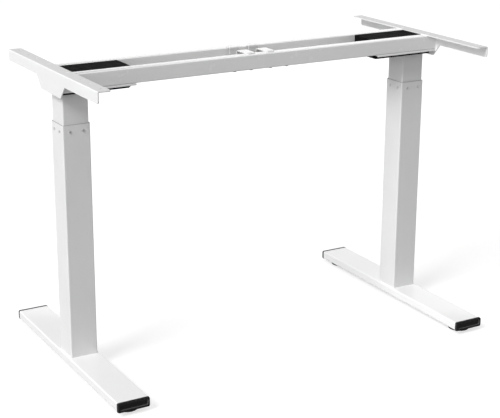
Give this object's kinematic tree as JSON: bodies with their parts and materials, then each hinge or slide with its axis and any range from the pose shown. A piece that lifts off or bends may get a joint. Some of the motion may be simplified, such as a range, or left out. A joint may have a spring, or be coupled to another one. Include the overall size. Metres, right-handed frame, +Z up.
{
  "type": "standing desk frame",
  "caption": "Electric height-adjustable desk frame: telescoping square columns on flat feet, joined by a widening pair of cross rails with side brackets for a desktop.",
  "frame": {"origin": "floor level, midway between the legs and between the feet's ends", "axes": "+X along the cross rails to the right leg, -Y to the front, +Z up"},
  "size_m": [1.15, 0.696, 0.81],
  "materials": {
    "white_powder_coat": "fine satin powder coat",
    "black_plastic": "fine moulded grain",
    "rubber": "matt",
    "bare_steel": "drawn, lightly oiled",
    "pale_plastic": "moulded acetal",
    "dark_screws": "blackened steel",
    "white_screws": "white painted heads",
    "motor_steel": "dark painted housing"
  },
  "bodies": {
    "left_leg_base": {"left_foot": "white_powder_coat", "left_front_foot_cap": "black_plastic", "left_rear_foot_cap": "black_plastic", "left_outer_column": "white_powder_coat", "left_base_plate": "bare_steel", "left_foot_bolts": "dark_screws", "left_nut_tube": "bare_steel", "left_spindle_nut": "pale_plastic", "left_guide_pads": "pale_plastic", "left_guide_screws": "bare_steel"},
    "left_frame_half": {"left_inner_column": "white_powder_coat", "left_slide_pads": "pale_plastic", "left_head_plate": "white_powder_coat", "left_rail_bolts": "dark_screws", "left_gear_motor": "motor_steel", "left_spindle_bearing": "bare_steel", "left_motor_cover": "black_plastic", "left_motor_pan": "black_plastic", "left_lead_grommet": "rubber", "left_front_rail": "white_powder_coat", "left_rear_rail": "white_powder_coat", "left_lock_screws": "dark_screws", "left_cross_strap": "white_powder_coat", "left_strap_screws": "white_screws", "left_side_bracket": "white_powder_coat", "left_bracket_screws": "white_screws"},
    "sleeves": {"front_sleeve": "bare_steel", "rear_sleeve": "bare_steel"},
    "right_frame_half": {"right_inner_column": "white_powder_coat", "right_slide_pads": "pale_plastic", "right_head_plate": "white_powder_coat", "right_rail_bolts": "dark_screws", "right_gear_motor": "motor_steel", "right_spindle_bearing": "bare_steel", "right_motor_cover": "black_plastic", "right_motor_pan": "black_plastic", "right_lead_grommet": "rubber", "right_front_rail": "white_powder_coat", "right_rear_rail": "white_powder_coat", "right_lock_screws": "dark_screws", "right_cross_strap": "white_powder_coat", "right_strap_screws": "white_screws", "right_side_bracket": "white_powder_coat", "right_bracket_screws": "white_screws"},
    "right_leg_base": {"right_foot": "white_powder_coat", "right_front_foot_cap": "black_plastic", "right_rear_foot_cap": "black_plastic", "right_outer_column": "white_powder_coat", "right_base_plate": "bare_steel", "right_foot_bolts": "dark_screws", "right_nut_tube": "bare_steel", "right_spindle_nut": "pale_plastic", "right_guide_pads": "pale_plastic", "right_guide_screws": "bare_steel"},
    "left_lead_screw": {"left_lead_screw": "bare_steel"},
    "left_front_glide": {"left_front_glide": "black_plastic"},
    "left_rear_glide": {"left_rear_glide": "black_plastic"},
    "right_lead_screw": {"right_lead_screw": "bare_steel"},
    "right_front_glide": {"right_front_glide": "black_plastic"},
    "right_rear_glide": {"right_rear_glide": "black_plastic"}
  },
  "joints": [
    {"name": "left_lift", "type": "slide", "parent": "left_leg_base", "child": "left_frame_half", "axis": [0, 0, 1], "range_m": [-0.065, 0.415]},
    {"name": "width_slide", "type": "slide", "parent": "left_frame_half", "child": "right_frame_half", "axis": [1, 0, 0], "range_m": [0, 0.45]},
    {"name": "sleeve_slide", "type": "slide", "parent": "left_frame_half", "child": "sleeves", "axis": [1, 0, 0], "range_m": [0, 0.225]},
    {"name": "right_lift", "type": "slide", "parent": "right_frame_half", "child": "right_leg_base", "axis": [0, 0, -1], "range_m": [-0.065, 0.415]},
    {"name": "left_spindle_turn", "type": "hinge", "parent": "left_frame_half", "child": "left_lead_screw", "pos_m": [-0.524, 0, 0.5], "axis": [0, 0, 1], "continuous": true},
    {"name": "right_spindle_turn", "type": "hinge", "parent": "right_frame_half", "child": "right_lead_screw", "pos_m": [0.524, 0, 0.5], "axis": [0, 0, 1], "continuous": true},
    {"name": "left_front_glide_screw", "type": "slide", "parent": "left_leg_base", "child": "left_front_glide", "axis": [0, 0, -1], "range_m": [0, 0.012]},
    {"name": "left_rear_glide_screw", "type": "slide", "parent": "left_leg_base", "child": "left_rear_glide", "axis": [0, 0, -1], "range_m": [0, 0.012]},
    {"name": "right_front_glide_screw", "type": "slide", "parent": "right_leg_base", "child": "right_front_glide", "axis": [0, 0, -1], "range_m": [0, 0.012]},
    {"name": "right_rear_glide_screw", "type": "slide", "parent": "right_leg_base", "child": "right_rear_glide", "axis": [0, 0, -1], "range_m": [0, 0.012]}
  ],
  "couplings": [
    {"joint": "right_lift", "follows": "left_lift", "ratio": 1},
    {"joint": "sleeve_slide", "follows": "width_slide", "ratio": 0.5},
    {"joint": "left_spindle_turn", "follows": "left_lift", "rad_per_m": 392.7},
    {"joint": "right_spindle_turn", "follows": "left_lift", "rad_per_m": 392.7}
  ]
}
